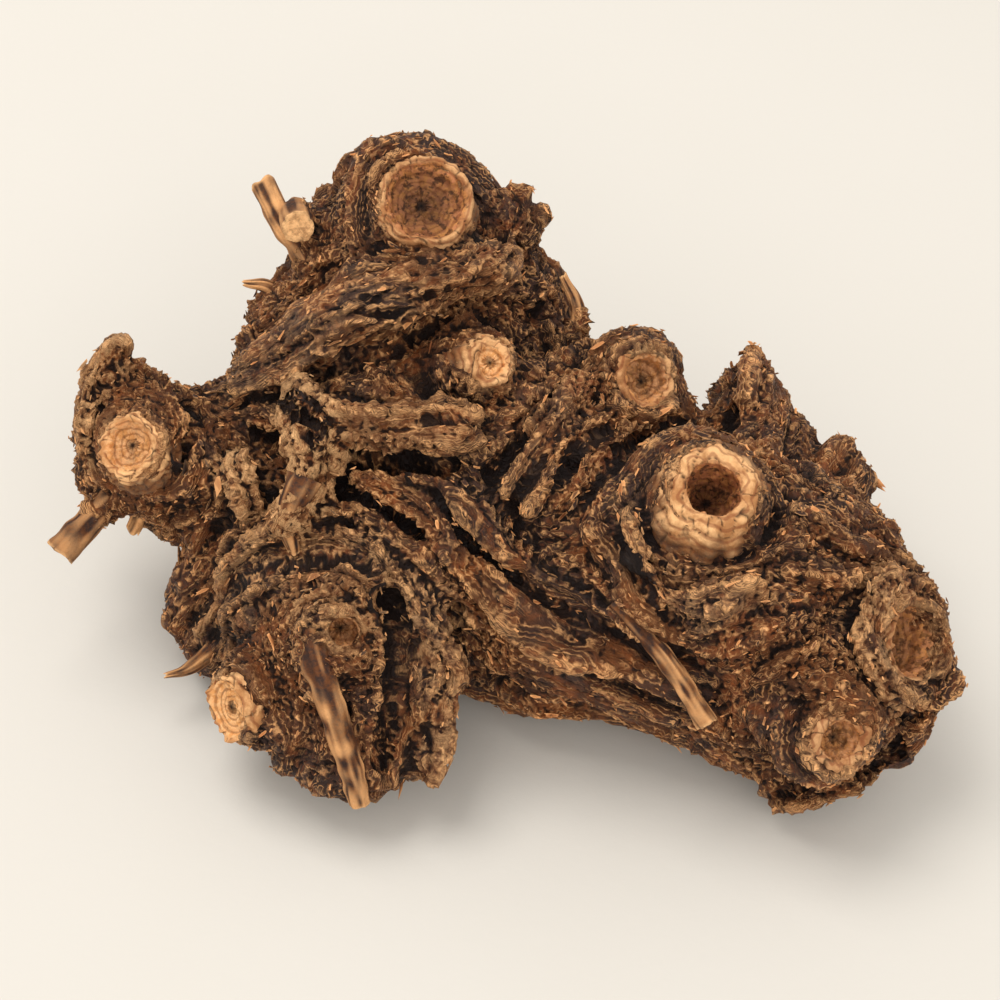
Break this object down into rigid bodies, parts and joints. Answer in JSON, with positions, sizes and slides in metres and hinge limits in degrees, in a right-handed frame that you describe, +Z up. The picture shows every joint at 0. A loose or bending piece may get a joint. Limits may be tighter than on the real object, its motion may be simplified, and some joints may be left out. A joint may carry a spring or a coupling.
{
  "type": "dried bugbane rhizome",
  "caption": "Dried bugbane rhizome: a dark, knobbly, branching lump of woody root with hollow round stem scars, kept whole before it is sliced as a herb.",
  "frame": {"origin": "middle of the base of the whole part's box", "axes": "+X along the longest extent, from the forked end to the single stout end, +Y from the front limb's tip to the crown, +Z up from the face it rests on"},
  "size_m": [0.113, 0.0812, 0.0561],
  "materials": {
    "bark": "rough, dry, flaking bark, dark brown with paler tan edges, scars and fibres"
  },
  "bodies": {
    "root": {"rhizome": "bark"}
  },
  "joints": []
}
